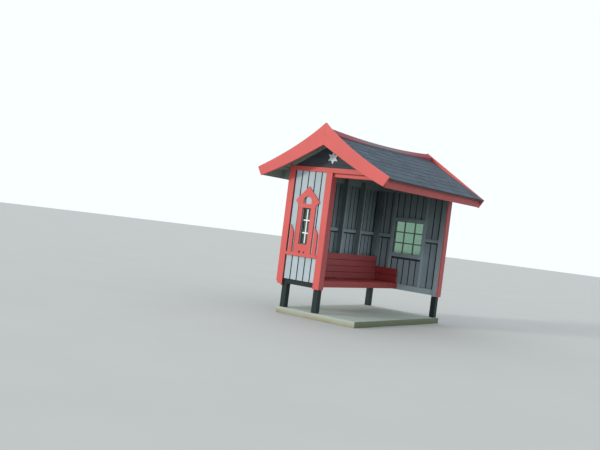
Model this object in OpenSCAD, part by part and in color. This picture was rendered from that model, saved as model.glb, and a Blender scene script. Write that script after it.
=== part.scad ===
// Roadside bus shelter: a small timber house on four post legs over a concrete slab.
// +X runs along the ridge towards the full end wall, -Y is the open front, +Z is up.
// The origin is on the ground, under the middle of the ridge.

/* [Floor slab] */
// Thickness of the concrete slab
slab_t = 100; // [60:5:200]
// How far the slab reaches beyond the outer faces of the posts
slab_margin = 40; // [0:5:120]

/* [Post frame] */
// Length of the post frame along the ridge, outer face to outer face
frame_l = 2830; // [2400:10:3600]
// Width of the post frame from front to rear, outer face to outer face
frame_w = 1500; // [1300:10:2000]
// Middle of the post frame, measured from the ridge line towards the rear
frame_y = -20; // [-40:1:20]
// Side of the square posts
post_s = 98; // [75:1:125]
// Height of the bare legs below the walls
leg_h = 385; // [250:5:450]
// Height of the underside of the gable headers above the slab
header_z = 2240; // [2050:5:2500]
// Height of the gable headers and of the eaves plates
beam_h = 98; // [75:1:148]
// Face of the middle gable post that looks at the open half, measured from the ridge line
middle_post_y = -17; // [-60:1:5]
// Width of a wall stud
stud_w = 48; // [36:1:60]
// Distance between the centres of the rear wall studs
stud_pitch = 607; // [500:1:700]
// Distance from the middle of the far post to the centre of the first stud
stud_start = 666; // [500:1:700]
// Thickness of the wall rails and depth of the framing beside the windows
rail_t = 48; // [36:1:60]
// Height of the top and bottom rails
rail_h = 105; // [90:1:115]
// How far the bottom rails stand above the bottom of the corner boards
rail_lift = 15; // [5:1:30]
// Height of the underside of the middle rails above the slab
girt_z = 1367; // [1300:1:1480]
// Height of the middle rails
girt_h = 60; // [45:1:98]

/* [Cladding and trim] */
// Thickness of the vertical wall boards
board_t = 22; // [16:1:28]
// Thickness of corner boards, gable ties and window trim
trim_t = 22; // [16:1:28]
// Width of a corner board
corner_w = 120; // [80:1:150]
// Width of the corner board at the rear edge of each end wall
rear_corner_w = 122; // [80:1:130]
// How far that board stands past the corner board that looks to the rear
rear_corner_lap = 12; // [4:1:20]
// How far its inner edge hangs below the other corner boards
foot_drop = 25; // [5:1:50]
// How much higher its outer edge is sawn off
foot_cut = 65; // [20:1:100]
// Gap between the top of the rear wall and the underside of the rafters
rear_wall_gap = 4; // [2:1:20]
// Height of the lower edge of the gable tie above the slab
tie_z = 2304; // [2290:1:2330]
// Height of the gable tie
tie_h = 76; // [60:1:120]
// How far the gable tie hangs below the gable boarding
tie_lap = 20; // [5:1:25]
// How far the wall boards stop above the bottom of the corner boards
panel_lift = 100; // [60:1:110]

/* [Roof] */
// Pitch of the roof in degrees
roof_pitch = 28.8; // [24:0.2:33]
// Distance from the ridge line to the edge of the roof boards and the ends of the bargeboards
roof_run = 1278; // [1150:2:1450]
// Distance from the end of the post frame to the outer face of the bargeboards
verge = 355; // [200:5:450]
// Depth of a rafter
rafter_d = 123; // [98:1:148]
// Width of a rafter
rafter_w = 48; // [36:1:60]
// Thickness of the roof boards
deck_t = 22; // [18:1:28]
// Thickness of the shingle covering
roofing_t = 8; // [5:1:16]
// How far the shingles reach past the roof boards
drip = 12; // [5:1:30]
// How far the eaves fascias stand back from the edge of the roof boards
fascia_set = 68; // [30:1:90]
// Height of the front fascia
fascia_h = 148; // [120:1:170]
// Height of the rear fascia
rear_fascia_h = 115; // [90:1:140]
// Thickness of the eaves fascia
fascia_t = 25; // [18:1:32]
// How far the rafter tails stop above the bottom of the fascia
tail_lift = 10; // [5:1:20]
// Width of each ridge board, along the slope
ridge_board_w = 140; // [90:5:200]
// Thickness of the ridge boards
ridge_board_t = 22; // [16:1:28]

/* [Bargeboards] */
// Thickness of a bargeboard
barge_t = 35; // [25:1:45]
// How far the peak of the bargeboards stands above the shingles
barge_peak = 101; // [60:1:140]
// How far the outer end of a bargeboard stands above the shingles
barge_foot = 18; // [5:1:50]
// Depth of a front bargeboard at its outer end, square to its top edge
barge_end_d = 177; // [150:1:200]
// Depth of a rear bargeboard at its outer end, square to its top edge
rear_barge_end_d = 160; // [140:1:190]
// Upright depth of a bargeboard at the peak
barge_peak_d = 354; // [300:1:380]
// How far the upper edge of a near bargeboard dips below a straight line
barge_dip = 60; // [30:1:80]
// How far the lower edge of a near bargeboard dips below a straight line
barge_under_dip = 26; // [10:1:40]
// Height of the far bargeboards over the shingles at the foot, below zero where they are lower
far_barge_foot = -4; // [-15:1:50]

/* [Narrow window] */
// Distance of the narrow window's centre from the middle of the half wall, towards the rear
narrow_off = -8; // [-12:1:12]
// Width of the glazed opening
narrow_w = 170; // [120:1:190]
// Height of the bottom of the opening above the slab
narrow_z = 1087; // [1060:1:1120]
// Height of the opening
narrow_h = 603; // [520:1:620]
// Thickness of the boards that line both window openings
lining_t = 20; // [14:1:26]
// Width of the trim boards beside the narrow window
jamb_w = 88; // [60:1:95]
// Height of the underside of the rail below the narrow window, above the slab
sill_rail_z = 885; // [850:1:900]
// Height of that rail
sill_rail_h = 55; // [40:1:70]
// Thickness of that rail
sill_rail_t = 30; // [24:1:40]
// Height of the peak of the pediment above the top of the opening
pediment_h = 360; // [330:1:400]
// Width of the pediment between its outer tips
pediment_w = 484; // [450:2:500]
// Height of the outer tips of the pediment above the top of the opening
pediment_tip_z = 115; // [100:1:130]
// Width of the pediment between the lower corners of its slanted ends
pediment_eave_w = 386; // [360:2:400]
// Height of those lower corners above the top of the opening
pediment_eave_z = 58; // [45:1:70]
// Width of the arched hole in the pediment
arch_w = 160; // [100:2:170]
// Height of the bottom of the arched hole above the top of the opening
arch_z = 70; // [60:1:80]
// Height of the straight sides of the arched hole
arch_side = 46; // [20:1:60]
// Width of a side bracket
bracket_w = 70; // [50:1:74]
// Height of the long edge of a side bracket
bracket_h = 455; // [380:5:480]
// How far the slanted top of a side bracket falls
bracket_fall = 95; // [60:5:120]
// Width of the two notches at the foot of the apron
notch_w = 30; // [20:1:40]
// Height of the two notches
notch_h = 34; // [20:1:45]
// Distance of each notch from the window's centre
notch_y = 48; // [30:1:55]

/* [End wall window] */
// Centre of the end wall window, measured from the ridge line towards the rear
wide_y = -2; // [-30:1:30]
// Width of the glazed opening
wide_w = 604; // [500:2:640]
// Height of the bottom of the opening above the slab
wide_z = 1087; // [1060:1:1120]
// Height of the opening
wide_h = 610; // [520:2:640]
// Width of the outside casing boards
casing_w = 90; // [60:1:110]
// Thickness of the inside sill
sill_t = 25; // [18:1:32]
// How far the inside sill stands into the shelter
sill_d = 45; // [30:1:70]
// How far the inside sill runs past each side of the opening
sill_ear = 30; // [20:1:60]
// Thickness of the glass
glass_t = 4; // [3:1:8]
// Distance from the outer face of the posts to the glass
glass_inset = 26; // [20:1:50]
// The same distance in the narrow window
narrow_glass_inset = 8; // [2:1:40]

/* [Bench] */
// Height of the top of the seat above the slab
seat_z = 522; // [480:2:540]
// How far the bench stands back from the middle gable post
bench_setback = 17; // [4:1:60]
// Thickness of a seat plank
plank_t = 28; // [22:1:36]
// Number of seat planks
plank_n = 4; // [3:1:5]
// Gap between seat planks
plank_gap = 8; // [4:1:14]
// Thickness of the backrest, the side boards and the front board
bench_board_t = 22; // [18:1:28]
// Height of the front board
bench_front_h = 108; // [80:1:115]
// Height of a backrest board
back_board_h = 107; // [90:1:115]
// Number of backrest boards
back_board_n = 4; // [2:1:4]
// Gap between backrest boards
back_gap = 5; // [4:1:12]
// Height of the backrest's lowest edge above the seat
back_lift = 5; // [2:1:20]
// Height of the lowest side board above the seat
side_lift = 4; // [2:1:40]
// Height of a side board
side_board_h = 127; // [90:1:135]
// Number of side boards at each end of the bench
side_board_n = 2; // [1:1:3]

/* [Gable star] */
// Radius of the star to its points
star_r = 106; // [80:1:130]
// Thickness of the star
star_t = 12; // [8:1:22]
// Height of the star's centre above the slab
star_z = 2547; // [2530:1:2580]

/* [Hidden] */

red = "indianred";
dark_red = "brown";
grey = "lightsteelblue";
black = "darkslategray";

// Faces of the post frame
end_x = frame_l / 2;
inner_x = end_x - post_s;
rear_y = frame_y + frame_w / 2;
front_y = frame_y - frame_w / 2;
inner_rear = rear_y - post_s;
inner_front = front_y + post_s;
middle_post_back = middle_post_y + post_s;

// Faces of the cladding and of the trim over it
clad_x = end_x + board_t;
trim_x = clad_x + trim_t;
rail_x = end_x - rail_t;
rear_clad_y = rear_y + rail_t;
rear_trim_y = rear_clad_y + board_t;
rear_face_y = rear_trim_y + trim_t;
rear_edge_y = rear_face_y + rear_corner_lap;
front_trim_y = front_y - trim_t;
middle_trim_y = middle_post_y - trim_t;
rear_corner_y = rear_edge_y - rear_corner_w;

// Heights of the frame, above the slab
plate_z = header_z + beam_h;
plate_top = plate_z + beam_h;
rail_z = leg_h + rail_lift;
rail_top = rail_z + rail_h;
panel_z = leg_h + panel_lift;
end_wall_top = tie_z + tie_lap;

// Roof planes: each gives the height at a distance from the ridge line
slope = tan(roof_pitch);
rafter_up = rafter_d / cos(roof_pitch);
deck_up = deck_t / cos(roof_pitch);
roofing_up = roofing_t / cos(roof_pitch);
seat_run = frame_w / 2 - post_s;
function rafter_under(y) = plate_top + (seat_run - y) * slope;
function deck_under(y) = rafter_under(y) + rafter_up;
function roofing_under(y) = deck_under(y) + deck_up;
function roof_top(y) = roofing_under(y) + roofing_up;
fascia_front = roof_run - fascia_set;
fascia_back = fascia_front - fascia_t;
rear_wall_top = min(plate_z, rafter_under(rear_trim_y) - rear_wall_gap);
roof_x = end_x + verge - barge_t;

// Bench faces
back_y = inner_rear - bench_board_t;
bench_y = middle_post_back + bench_setback;
seat_front = bench_y + bench_board_t;
plank_z = seat_z - plank_t;
bearer_z = seat_z - bench_front_h;

// Middle of the narrow window, window tops, and half the widths of the openings
narrow_y = (middle_trim_y + corner_w + rear_corner_y) / 2 + narrow_off;
narrow_top = narrow_z + narrow_h;
wide_top = wide_z + wide_h;
narrow_half = narrow_w / 2;
wide_half = wide_w / 2;

// Centres of the rear studs, spaced from the far post
first_stud = end_x - post_s / 2 - stud_start;
stud_x = [for (x = first_stud; x > stud_w - inner_x; x = x - stud_pitch) x];

// Stands everything above the ground on the slab
module on_slab() translate([0, 0, slab_t]) children();

// A squared board or beam between two faces on each axis
module timber(x, y, z) translate([x[0], y[0], z[0]])
    cube([x[1] - x[0], y[1] - y[0], z[1] - z[0]]);

// An outline drawn in Y and Z, drawn out along X
module along_x(x, points) translate([x[0], 0, 0])
    rotate([90, 0, 90]) linear_extrude(height = x[1] - x[0]) polygon(points);

module front_side() mirror([0, 1, 0]) children();

// A board with a rectangular hole, or the ring that lines such a hole
module holed_board(x, y, z, hole_y, hole_z) difference() {
    timber(x, y, z);
    timber([x[0] - 1, x[1] + 1], hole_y, hole_z);
}

module floor_slab() color("silver")
    timber([-end_x - slab_margin, end_x + slab_margin],
        [front_y - slab_margin, rear_y + slab_margin], [0, slab_t]);

// Posts: black legs below the walls, painted frame above
module post(x, y) color(black) on_slab() timber([x, x + post_s], [y, y + post_s], [0, header_z]);
module post_rear_left() post(-end_x, inner_rear);
module post_gable_middle() post(-end_x, middle_post_y);
module post_rear_right() post(inner_x, inner_rear);
module post_front_right() post(inner_x, front_y);

// Headers span each gable; the near one carries the open front corner as a cantilever
module gable_headers() color(red) on_slab() for (x = [-end_x, inner_x])
    timber([x, x + post_s], [front_y, rear_y], [header_z, plate_z]);

module plate(y) color(grey) on_slab()
    timber([-end_x, end_x], [y, y + post_s], [plate_z, plate_top]);
module front_plate() plate(front_y);
module rear_plate() plate(inner_rear);

// Studs of the rear wall, and pairs of studs beside both windows
module wall_studs() color(grey) on_slab() {
    for (x = stud_x)
        timber([x - stud_w / 2, x + stud_w / 2], [inner_rear, rear_y], [rail_z, plate_z]);
    for (side = [-1, 1]) {
        near_y = narrow_y + side * (narrow_half + lining_t + stud_w / 2);
        timber([-end_x, -rail_x], [near_y - stud_w / 2, near_y + stud_w / 2], [rail_top, header_z]);
        far_y = wide_y + side * (wide_half + lining_t + stud_w / 2);
        timber([rail_x, end_x], [far_y - stud_w / 2, far_y + stud_w / 2], [rail_top, header_z]);
    }
}

// Three rails outside the rear studs, bottom rails in both end walls, and the short rails round the windows
module wall_rails() color(grey) on_slab() {
    for (z = [rail_z, rear_wall_top - rail_h])
        timber([-end_x, end_x], [rear_y, rear_clad_y], [z, z + rail_h]);
    timber([-end_x, end_x], [rear_y, rear_clad_y], [girt_z, girt_z + girt_h]);
    timber([rail_x, end_x], [inner_front, inner_rear], [rail_z, rail_top]);
    timber([-end_x, -rail_x], [middle_post_back, inner_rear], [rail_z, rail_top]);
    far_half = wide_half + lining_t;
    near_half = narrow_half + lining_t;
    for (y = [[inner_front, wide_y - far_half - stud_w], [wide_y + far_half + stud_w, inner_rear]])
        timber([rail_x, end_x], y, [girt_z, girt_z + girt_h]);
    for (z = [wide_z - lining_t - rail_t, wide_top + lining_t])
        timber([rail_x, end_x], [wide_y - far_half, wide_y + far_half], [z, z + rail_t]);
    for (z = [narrow_z - lining_t - rail_t, narrow_top + lining_t])
        timber([-end_x, -rail_x], [narrow_y - near_half, narrow_y + near_half], [z, z + rail_t]);
}

// Walls
module rear_wall() color(grey) on_slab()
    timber([-clad_x, clad_x], [rear_clad_y, rear_trim_y], [panel_z, rear_wall_top]);

module end_wall() color(grey) on_slab()
    holed_board([end_x, clad_x], [front_y, rear_clad_y], [panel_z, end_wall_top],
        [wide_y - wide_half - lining_t, wide_y + wide_half + lining_t],
        [wide_z - lining_t, wide_top + lining_t]);

module half_wall() color(grey) on_slab()
    holed_board([-clad_x, -end_x], [middle_post_y, rear_clad_y], [panel_z, end_wall_top],
        [narrow_y - narrow_half - lining_t, narrow_y + narrow_half + lining_t],
        [narrow_z - lining_t, narrow_top + lining_t]);

// Dark boarding that closes both gables above the tie, notched over the end of the rear wall
module gable_boarding() color(black) on_slab() for (x = [-clad_x, end_x])
    along_x([x, x + board_t], [[front_y, end_wall_top], [rear_clad_y, end_wall_top],
        [rear_clad_y, rear_wall_top], [rear_trim_y, rear_wall_top],
        [rear_trim_y, deck_under(rear_trim_y)], [0, deck_under(0)], [front_y, deck_under(-front_y)]]);

module gable_ties() color(red) on_slab() for (x = [-trim_x, clad_x])
    timber([x, x + trim_t], [front_trim_y, rear_edge_y], [tie_z, tie_z + tie_h]);

// Corner boards on the two end walls; the rear ones are sawn off at a slant
module end_corner_boards() color(red) on_slab() {
    for (x = [-trim_x, clad_x])
        along_x([x, x + trim_t], [[rear_corner_y, leg_h - foot_drop],
            [rear_edge_y, leg_h - foot_drop + foot_cut], [rear_edge_y, tie_z], [rear_corner_y, tie_z]]);
    timber([-trim_x, -clad_x], [middle_trim_y, middle_trim_y + corner_w], [leg_h, tie_z]);
    timber([clad_x, trim_x], [front_trim_y, front_trim_y + corner_w], [leg_h, tie_z]);
}

// Corner boards that look to the front and to the rear
module side_corner_boards() color(dark_red) on_slab() {
    timber([-clad_x, -clad_x + corner_w], [middle_trim_y, middle_post_y], [leg_h, header_z]);
    timber([clad_x - corner_w, clad_x], [front_trim_y, front_y], [leg_h, header_z]);
    for (x = [-clad_x, clad_x - corner_w])
        timber([x, x + corner_w], [rear_trim_y, rear_face_y], [leg_h, rear_wall_top]);
}

// Rail across the half wall, which carries the window trim
module sill_rail() color(red) on_slab()
    timber([-clad_x - sill_rail_t, -clad_x],
        [middle_trim_y + corner_w, rear_corner_y],
        [sill_rail_z, sill_rail_z + sill_rail_h]);

// Trim boards of the narrow window, drawn from its centre line
sill_rail_top = sill_rail_z + sill_rail_h;
trim_half = narrow_half + jamb_w;
module window_trim(points) color(red) on_slab()
    translate([0, narrow_y, 0]) along_x([-trim_x, -clad_x], points);

module window_pediment() color(red) on_slab() translate([-trim_x, narrow_y, narrow_top])
    rotate([90, 0, 90]) linear_extrude(height = trim_t) difference() {
        polygon([[trim_half, 0], [trim_half, pediment_eave_z], [pediment_eave_w / 2, pediment_eave_z],
            [pediment_w / 2, pediment_tip_z], [0, pediment_h], [-pediment_w / 2, pediment_tip_z],
            [-pediment_eave_w / 2, pediment_eave_z], [-trim_half, pediment_eave_z], [-trim_half, 0]]);
        translate([-arch_w / 2, arch_z]) square([arch_w, arch_side]);
        translate([0, arch_z + arch_side]) intersection() {
            circle(d = arch_w, $fn = 48);
            translate([-arch_w / 2, -1]) square([arch_w, arch_w]);
        }
    }

module window_jambs() for (side = [-1, 1])
    window_trim([[side * narrow_half, sill_rail_top], [side * trim_half, sill_rail_top],
        [side * trim_half, narrow_top], [side * narrow_half, narrow_top]]);

module window_apron() color(red) on_slab() difference() {
    timber([-trim_x, -clad_x], [narrow_y - narrow_half, narrow_y + narrow_half], [sill_rail_top, narrow_z]);
    for (side = [-1, 1]) translate([0, narrow_y + side * notch_y, 0])
        timber([-trim_x - 1, -clad_x + 1], [-notch_w / 2, notch_w / 2],
            [sill_rail_top - 1, sill_rail_top + notch_h]);
}

// A bracket stands midway between each corner board and the window, its long edge towards the rear
bracket_places = [(middle_trim_y + corner_w + narrow_y - trim_half) / 2,
    (narrow_y + trim_half + rear_corner_y) / 2];
module window_brackets() for (place = bracket_places) {
    y = place - narrow_y - bracket_w / 2;
    window_trim([[y, sill_rail_top], [y + bracket_w, sill_rail_top],
        [y + bracket_w, sill_rail_top + bracket_h],
        [y + bracket_w / 8, sill_rail_top + bracket_h - bracket_fall],
        [y, sill_rail_top + bracket_h - bracket_fall * 1.4]]);
}

// Linings run through the wall, and the glass stands inside them
module window_lining(x, y, z, half, high) color(grey) on_slab()
    holed_board(x, [y - half - lining_t, y + half + lining_t], [z - lining_t, z + high + lining_t],
        [y - half, y + half], [z, z + high]);
module narrow_window_lining() window_lining([-clad_x, -rail_x], narrow_y, narrow_z, narrow_half, narrow_h);
module wide_window_lining() window_lining([rail_x, clad_x], wide_y, wide_z, wide_half, wide_h);

module wide_window_casing() color(red) on_slab()
    holed_board([clad_x, trim_x],
        [wide_y - wide_half - casing_w, wide_y + wide_half + casing_w],
        [wide_z - casing_w, wide_top + casing_w],
        [wide_y - wide_half, wide_y + wide_half], [wide_z, wide_top]);

module wide_window_sill() color(grey) on_slab()
    timber([rail_x - sill_d, rail_x],
        [wide_y - wide_half - sill_ear, wide_y + wide_half + sill_ear], [wide_z - sill_t, wide_z]);

module window_glass() color("lightcyan", 0.4) on_slab() {
    timber([-end_x + narrow_glass_inset, -end_x + narrow_glass_inset + glass_t],
        [narrow_y - narrow_half, narrow_y + narrow_half], [narrow_z, narrow_top]);
    timber([end_x - glass_inset - glass_t, end_x - glass_inset],
        [wide_y - wide_half, wide_y + wide_half], [wide_z, wide_top]);
}

// Bench between the half wall and the end wall
module bench_seat() color(dark_red) on_slab() {
    plank_w = (back_y - seat_front - plank_gap * plank_n) / plank_n;
    for (i = [0 : plank_n - 1]) {
        y = seat_front + i * (plank_w + plank_gap);
        timber([-rail_x, rail_x], [y, y + plank_w], [plank_z, seat_z]);
    }
}

module bench_front_board() color(dark_red) on_slab()
    timber([-rail_x, rail_x], [bench_y, seat_front], [bearer_z, seat_z]);

module bench_backrest() color(dark_red) on_slab() for (i = [0 : back_board_n - 1]) {
    z = seat_z + back_lift + i * (back_board_h + back_gap);
    timber([-rail_x, rail_x], [back_y, inner_rear], [z, z + back_board_h]);
}

module bench_side_boards() color(dark_red) on_slab()
    for (x = [-rail_x, rail_x - bench_board_t], i = [0 : side_board_n - 1]) {
        z = seat_z + side_lift + i * (side_board_h + back_gap);
        timber([x, x + bench_board_t], [seat_front, back_y], [z, z + side_board_h]);
    }

// Bearers under the seat, on the rear studs and against both end walls
module bench_bearers() color(dark_red) on_slab()
    for (x = concat(stud_x, [-rail_x + stud_w / 2, rail_x - stud_w / 2]))
        timber([x - stud_w / 2, x + stud_w / 2], [seat_front, inner_rear], [bearer_z, plank_z]);

// Roof: rafters with a seat cut over the plate. Those over the studs run on to a level-cut tail
// behind the fascia, and the pair over each gable stops at the wall.
function fascia_z(high) = deck_under(fascia_front) - high;
module slope_rafters(heel_y, high) color("dimgray") on_slab() {
    tail_z = fascia_z(high) + tail_lift;
    for (x = stud_x) difference() {
        along_x([x - rafter_w / 2, x + rafter_w / 2], [[0, rafter_under(0)], [seat_run, plate_top],
            [heel_y, plate_top], [heel_y, rafter_under(heel_y)], [fascia_back, rafter_under(fascia_back)],
            [fascia_back, deck_under(fascia_back)], [0, deck_under(0)]]);
        timber([x - rafter_w, x + rafter_w], [heel_y, fascia_back + 1], [tail_z - rafter_up, tail_z]);
    }
    for (x = [-end_x + rafter_w / 2, end_x - rafter_w / 2])
        along_x([x - rafter_w / 2, x + rafter_w / 2], [[0, rafter_under(0)], [seat_run, plate_top],
            [heel_y, plate_top], [heel_y, deck_under(heel_y)], [0, deck_under(0)]]);
}
module front_rafters() front_side() slope_rafters(-front_y, fascia_h);
module rear_rafters() slope_rafters(rear_y, rear_fascia_h);

module slope_deck() color("dimgray") on_slab() along_x([-roof_x, roof_x],
    [[0, deck_under(0)], [roof_run, deck_under(roof_run)],
        [roof_run, roofing_under(roof_run)], [0, roofing_under(0)]]);
module front_roof_deck() front_side() slope_deck();
module rear_roof_deck() slope_deck();

module slope_shingles() color("slategray") on_slab() along_x([-roof_x, roof_x],
    [[0, roofing_under(0)], [roof_run + drip, roofing_under(roof_run + drip)],
        [roof_run + drip, roof_top(roof_run + drip)], [0, roof_top(0)]]);
module front_shingles() front_side() slope_shingles();
module rear_shingles() slope_shingles();

module ridge_boards() color(red) on_slab() {
    reach = ridge_board_w * cos(roof_pitch);
    up = ridge_board_t / cos(roof_pitch);
    along_x([-roof_x, roof_x], [[0, roof_top(0)], [reach, roof_top(reach)],
        [reach, roof_top(reach) + up], [0, roof_top(0) + up],
        [-reach, roof_top(reach) + up], [-reach, roof_top(reach)]]);
}

// An edge in Y and Z that dips below the straight line, most where the bend is
function swept(from, to, bend, dip) = let (low = from + bend * (to - from) - [0, 2 * dip])
    [for (i = [0 : 12]) let (t = i / 12)
        (1 - t) * (1 - t) * from + 2 * t * (1 - t) * low + t * t * to];

// Tapered bargeboards, square cut at the foot and joined upright at the peak
barge_top = [0, roof_top(0) + barge_peak];
barge_low = barge_top - [0, barge_peak_d];
function barge_end(lift) = [roof_run, roof_top(roof_run) + lift];
function barge_heel(end, end_d) = let (rake = atan2(barge_top[1] - end[1], roof_run))
    end - end_d * [sin(rake), cos(rake)];
// The near pair is swept, the far pair is straight
module near_bargeboard(end_d) color(red) on_slab() {
    end = barge_end(barge_foot);
    along_x([-roof_x - barge_t, -roof_x], concat(swept(barge_top, end, 0.35, barge_dip),
        swept(barge_heel(end, end_d), barge_low, 0.4, barge_under_dip)));
}
module far_bargeboard(end_d) color(red) on_slab() {
    end = barge_end(far_barge_foot);
    along_x([roof_x, roof_x + barge_t], [barge_top, end, barge_heel(end, end_d), barge_low]);
}
module near_front_bargeboard() front_side() near_bargeboard(barge_end_d);
module near_rear_bargeboard() near_bargeboard(rear_barge_end_d);
module far_front_bargeboard() front_side() far_bargeboard(barge_end_d);
module far_rear_bargeboard() far_bargeboard(rear_barge_end_d);

// Fascias under the edges of the roof boards
module eaves_fascia(high) on_slab() along_x([-roof_x, roof_x],
    [[fascia_back, fascia_z(high)], [fascia_front, fascia_z(high)],
        [fascia_front, deck_under(fascia_front)], [fascia_back, deck_under(fascia_back)]]);
module fascia_boards() color(dark_red) {
    eaves_fascia(rear_fascia_h);
    front_side() eaves_fascia(fascia_h);
}

// Six-pointed star on the near gable, one point up
module gable_star() color("gainsboro") on_slab() translate([-clad_x - star_t, 0, star_z])
    rotate([90, 0, 90]) linear_extrude(height = star_t)
        polygon([for (i = [0 : 11]) star_r * (i % 2 == 0 ? 1 : 0.52) * [sin(i * 30), cos(i * 30)]]);

floor_slab();
post_rear_left();
post_gable_middle();
post_rear_right();
post_front_right();
gable_headers();
front_plate();
rear_plate();
wall_studs();
wall_rails();
rear_wall();
end_wall();
half_wall();
gable_boarding();
gable_ties();
end_corner_boards();
side_corner_boards();
sill_rail();
window_pediment();
window_jambs();
window_apron();
window_brackets();
narrow_window_lining();
wide_window_lining();
wide_window_casing();
wide_window_sill();
window_glass();
bench_seat();
bench_front_board();
bench_backrest();
bench_side_boards();
bench_bearers();
front_rafters();
rear_rafters();
front_roof_deck();
rear_roof_deck();
front_shingles();
rear_shingles();
ridge_boards();
near_front_bargeboard();
near_rear_bargeboard();
far_front_bargeboard();
far_rear_bargeboard();
fascia_boards();
gable_star();
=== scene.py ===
# %% [markdown]
# # A roadside bus shelter
# This notebook dresses the solids of a small timber bus shelter for its picture: painted
# boards, a shingle roof, windows with bars, a bench and a concrete slab. The solids are a
# fixed frame: they say where everything is, and each step here gives one kind of part the
# finish that a painter or a carpenter would give it. Lengths are in millimetres wherever a
# maker would say millimetres, and are turned to metres at the last moment.

# %% Load the fixed frame
import math
import random

import bmesh
import bpy
from mathutils import Matrix, Vector


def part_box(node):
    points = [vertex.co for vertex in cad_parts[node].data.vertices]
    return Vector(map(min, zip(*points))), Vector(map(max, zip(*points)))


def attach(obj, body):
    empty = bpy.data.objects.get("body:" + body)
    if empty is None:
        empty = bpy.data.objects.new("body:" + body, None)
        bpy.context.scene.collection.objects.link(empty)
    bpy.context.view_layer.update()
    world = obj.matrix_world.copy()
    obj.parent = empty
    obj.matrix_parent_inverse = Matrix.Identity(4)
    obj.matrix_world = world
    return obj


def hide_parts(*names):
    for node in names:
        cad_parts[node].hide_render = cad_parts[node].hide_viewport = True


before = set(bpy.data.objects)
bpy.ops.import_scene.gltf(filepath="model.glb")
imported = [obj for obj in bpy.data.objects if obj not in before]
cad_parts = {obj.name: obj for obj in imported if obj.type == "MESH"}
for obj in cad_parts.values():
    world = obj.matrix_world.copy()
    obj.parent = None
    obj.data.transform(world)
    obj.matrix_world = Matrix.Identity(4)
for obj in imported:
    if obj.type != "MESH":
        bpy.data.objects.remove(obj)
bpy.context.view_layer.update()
MM = 0.001
scene = bpy.context.scene


# %% Boxes in millimetres
def box_mm(node):
    """The lowest and the highest corner of a solid, in millimetres."""
    return [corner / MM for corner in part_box(node)]


# %% [markdown]
# ## Where the picture is taken from
# The camera stands about thirteen metres off the near gable, at eye height, and is held a
# little crooked. The place, the direction and the roll were worked out from the straight
# edges of the shelter. A tracking constraint could aim the camera, but it can't
# hold the roll, so the three axes of the camera are written out and put in its matrix.

# %% Camera
CAMERA_PLACE = Vector((-12.36373, -7.49387, 1.56282))
CAMERA_AHEAD = Vector((0.80708481, 0.59041569, -0.0048395)).normalized()
CAMERA_ROLL = math.radians(7.1678)
LENS_MM = 48.91
SENSOR_MM = 36
SEE_TO_M = 300

level = CAMERA_AHEAD.cross(Vector((0, 0, 1))).normalized()
upright = level.cross(CAMERA_AHEAD)
right = level * math.cos(CAMERA_ROLL) + upright * math.sin(CAMERA_ROLL)
up = upright * math.cos(CAMERA_ROLL) - level * math.sin(CAMERA_ROLL)
camera_data = bpy.data.cameras.new("roadside_camera")
camera_data.lens = LENS_MM
camera_data.sensor_width = SENSOR_MM
camera_data.clip_end = SEE_TO_M
camera = bpy.data.objects.new("roadside_camera", camera_data)
camera.matrix_world = Matrix((
    (right.x, up.x, -CAMERA_AHEAD.x, CAMERA_PLACE.x),
    (right.y, up.y, -CAMERA_AHEAD.y, CAMERA_PLACE.y),
    (right.z, up.z, -CAMERA_AHEAD.z, CAMERA_PLACE.z),
    (0, 0, 0, 1)))
scene.collection.objects.link(camera)
scene.camera = camera
print("camera at", CAMERA_PLACE, "lens", LENS_MM, "mm")

# %% [markdown]
# ## Colours and nodes
# Paint is matched on a screen, so every colour is written as the sRGB code that a screen
# shows. Blender mixes light in linear values, so one function turns the code into them. One
# more function adds a shader node with its settings and its links, so that a material below
# reads from top to bottom like a recipe.


# %% Colour and node helpers
def linear(code):
    """The linear colour of an sRGB hex code such as '#c8403a'."""
    channels = [int(code[i:i + 2], 16) / 255 for i in (1, 3, 5)]
    return tuple(c / 12.92 if c <= 0.04045 else ((c + 0.055) / 1.055) ** 2.4
                 for c in channels) + (1.0,)


def add_node(tree, kind, settings=None, links=None):
    """Adds a shader node. Settings are its properties or the values of its inputs. A link
    comes from an output, or from a node, which stands for its first output in use."""
    node = tree.nodes.new("ShaderNode" + kind)
    for key, value in (settings or {}).items():
        if isinstance(key, str) and hasattr(node, key):
            setattr(node, key, value)
        else:
            node.inputs[key].default_value = value
    for key, source in (links or {}).items():
        if isinstance(source, bpy.types.Node):
            source = next(output for output in source.outputs if output.enabled)
        tree.links.new(source, node.inputs[key])
    return node


def new_material(name):
    """An empty node material, its tree and the place on the object that patterns follow."""
    material = bpy.data.materials.new(name)
    material.use_nodes = True
    tree = material.node_tree
    tree.nodes.clear()
    return material, tree, add_node(tree, "TexCoord").outputs["Object"]


def close_material(tree, surface):
    """Joins the finished surface to the material's output."""
    add_node(tree, "OutputMaterial", links={"Surface": surface})


# %% [markdown]
# ## Paint on sawn boards
# Nearly all of the shelter is sawn softwood with house paint on it. The saw and the grain
# leave long shallow ridges that a brush coat follows, so the light breaks up along each
# board. Paint is thinnest on the corners, where it wears first, and dirt gathers in broad
# soft patches. Every board takes the paint a little differently. The recipe reads three
# things that the meshes carry: the place along the grain in millimetres, one tone for each
# board, and a mark on the rounded corners. Dry house paint has a roughness about 0.5 to 0.7.


# %% Painted boards
FIBRE_LENGTH_MM = 160
FIBRE_WIDTH_MM = 5      # real fibres are finer: drawn this coarse so that they show
PATCH_MM = 420
WEAR_SPOT_MM = 22
GRAIN_SHARE = 0.3       # how much of the shade colour the grain lets show
TONE_SHARE = 0.3        # how much the tone of each board adds to that
# the most that a fade of painted light and shade covers
MOST_PAINTED_LIGHT_AND_SHADE = 0.85
PAINT_LINE_MM = 1.5     # how far a brushed line between two paints runs to each side
GLOSS_SPREAD = 0.12


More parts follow.
